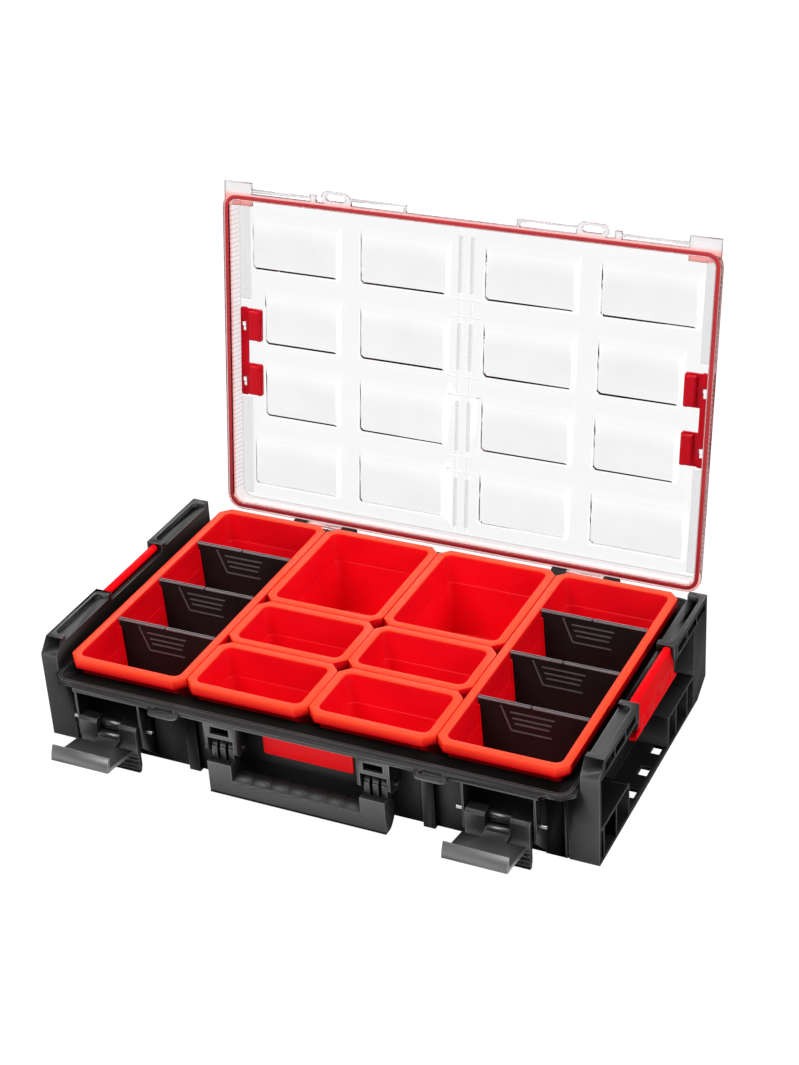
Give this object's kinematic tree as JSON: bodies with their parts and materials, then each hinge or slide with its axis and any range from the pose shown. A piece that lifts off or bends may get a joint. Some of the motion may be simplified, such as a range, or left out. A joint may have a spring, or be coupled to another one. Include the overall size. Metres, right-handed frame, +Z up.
{
  "type": "parts organizer box",
  "caption": "Portable organizer box with a clear hinged lid, lift-out bins with removable dividers, front latches, folding handle and side stacking clips.",
  "frame": {"origin": "on the floor under the middle of the bin field", "axes": "+X to the right along the width, +Y to the hinge at the back, +Z up"},
  "size_m": [0.582, 0.4988, 0.4434],
  "materials": {
    "black_plastic": "fine textured satin",
    "red_plastic": "satin",
    "clear_plastic": "clear gloss",
    "seal_rubber": "matte",
    "steel": "bright"
  },
  "bodies": {
    "base": {"base_tray": "black_plastic", "label_plate": "red_plastic", "latch_pin_left": "steel", "latch_pin_right": "steel", "handle_pin_left": "steel", "handle_pin_right": "steel", "lid_hinge_pin_left": "steel", "lid_hinge_pin_right": "steel"},
    "lid": {"lid_frame": "clear_plastic", "lid_panel": "clear_plastic", "lid_gasket": "seal_rubber"},
    "lid_lock_left": {"lid_lock_left": "red_plastic"},
    "latch_lever_left": {"latch_lever_left": "black_plastic"},
    "latch_hook_left": {"latch_hook_left": "black_plastic"},
    "side_clip_left": {"side_clip_left": "red_plastic"},
    "bin_side_left": {"bin_side_left": "red_plastic"},
    "bin_back_left": {"bin_back_left": "red_plastic"},
    "bin_mid_left": {"bin_mid_left": "red_plastic"},
    "bin_front_left": {"bin_front_left": "red_plastic"},
    "divider_left_1": {"divider_left_1": "black_plastic"},
    "divider_left_2": {"divider_left_2": "black_plastic"},
    "divider_left_3": {"divider_left_3": "black_plastic"},
    "lid_lock_right": {"lid_lock_right": "red_plastic"},
    "latch_lever_right": {"latch_lever_right": "black_plastic"},
    "latch_hook_right": {"latch_hook_right": "black_plastic"},
    "side_clip_right": {"side_clip_right": "red_plastic"},
    "bin_side_right": {"bin_side_right": "red_plastic"},
    "bin_back_right": {"bin_back_right": "red_plastic"},
    "bin_mid_right": {"bin_mid_right": "red_plastic"},
    "bin_front_right": {"bin_front_right": "red_plastic"},
    "divider_right_1": {"divider_right_1": "black_plastic"},
    "divider_right_2": {"divider_right_2": "black_plastic"},
    "divider_right_3": {"divider_right_3": "black_plastic"},
    "handle": {"handle": "black_plastic"}
  },
  "joints": [
    {"name": "lid_hinge", "type": "hinge", "parent": "base", "child": "lid", "pos_m": [0, 0.1808, 0.07915], "axis": [-1, 0, 0], "range_deg": [-99, 0]},
    {"name": "lid_lock_left_slide", "type": "slide", "parent": "lid", "child": "lid_lock_left", "axis": [0, 0.1564, 0.9877], "range_m": [0, 0.006]},
    {"name": "latch_lever_left_hinge", "type": "hinge", "parent": "base", "child": "latch_lever_left", "pos_m": [0, -0.174, 0.044], "axis": [-1, 0, 0], "range_deg": [0, 85]},
    {"name": "latch_hook_left_hinge", "type": "hinge", "parent": "latch_lever_left", "child": "latch_hook_left", "pos_m": [0, -0.1815, 0.035], "axis": [1, 0, 0], "range_deg": [-80, 0]},
    {"name": "side_clip_left_hinge", "type": "hinge", "parent": "base", "child": "side_clip_left", "pos_m": [-0.283, 0, 0.103], "axis": [0, 1, 0], "range_deg": [0, 175]},
    {"name": "bin_side_left_lift", "type": "slide", "parent": "base", "child": "bin_side_left", "axis": [0, 0, 1], "range_m": [0, 0.11]},
    {"name": "bin_back_left_lift", "type": "slide", "parent": "base", "child": "bin_back_left", "axis": [0, 0, 1], "range_m": [0, 0.11]},
    {"name": "bin_mid_left_lift", "type": "slide", "parent": "base", "child": "bin_mid_left", "axis": [0, 0, 1], "range_m": [0, 0.11]},
    {"name": "bin_front_left_lift", "type": "slide", "parent": "base", "child": "bin_front_left", "axis": [0, 0, 1], "range_m": [0, 0.11]},
    {"name": "divider_left_1_lift", "type": "slide", "parent": "bin_side_left", "child": "divider_left_1", "axis": [0, 0, 1], "range_m": [0, 0.095]},
    {"name": "divider_left_2_lift", "type": "slide", "parent": "bin_side_left", "child": "divider_left_2", "axis": [0, 0, 1], "range_m": [0, 0.095]},
    {"name": "divider_left_3_lift", "type": "slide", "parent": "bin_side_left", "child": "divider_left_3", "axis": [0, 0, 1], "range_m": [0, 0.095]},
    {"name": "lid_lock_right_slide", "type": "slide", "parent": "lid", "child": "lid_lock_right", "axis": [0, 0.1564, 0.9877], "range_m": [0, 0.006]},
    {"name": "latch_lever_right_hinge", "type": "hinge", "parent": "base", "child": "latch_lever_right", "pos_m": [0, -0.174, 0.044], "axis": [-1, 0, 0], "range_deg": [0, 85]},
    {"name": "latch_hook_right_hinge", "type": "hinge", "parent": "latch_lever_right", "child": "latch_hook_right", "pos_m": [0, -0.1815, 0.035], "axis": [1, 0, 0], "range_deg": [-80, 0]},
    {"name": "side_clip_right_hinge", "type": "hinge", "parent": "base", "child": "side_clip_right", "pos_m": [0.283, 0, 0.103], "axis": [0, -1, 0], "range_deg": [0, 175]},
    {"name": "bin_side_right_lift", "type": "slide", "parent": "base", "child": "bin_side_right", "axis": [0, 0, 1], "range_m": [0, 0.11]},
    {"name": "bin_back_right_lift", "type": "slide", "parent": "base", "child": "bin_back_right", "axis": [0, 0, 1], "range_m": [0, 0.11]},
    {"name": "bin_mid_right_lift", "type": "slide", "parent": "base", "child": "bin_mid_right", "axis": [0, 0, 1], "range_m": [0, 0.11]},
    {"name": "bin_front_right_lift", "type": "slide", "parent": "base", "child": "bin_front_right", "axis": [0, 0, 1], "range_m": [0, 0.11]},
    {"name": "divider_right_1_lift", "type": "slide", "parent": "bin_side_right", "child": "divider_right_1", "axis": [0, 0, 1], "range_m": [0, 0.095]},
    {"name": "divider_right_2_lift", "type": "slide", "parent": "bin_side_right", "child": "divider_right_2", "axis": [0, 0, 1], "range_m": [0, 0.095]},
    {"name": "divider_right_3_lift", "type": "slide", "parent": "bin_side_right", "child": "divider_right_3", "axis": [0, 0, 1], "range_m": [0, 0.095]},
    {"name": "handle_hinge", "type": "hinge", "parent": "base", "child": "handle", "pos_m": [0, -0.1695, 0.0495], "axis": [-1, 0, 0], "range_deg": [0, 90]}
  ]
}
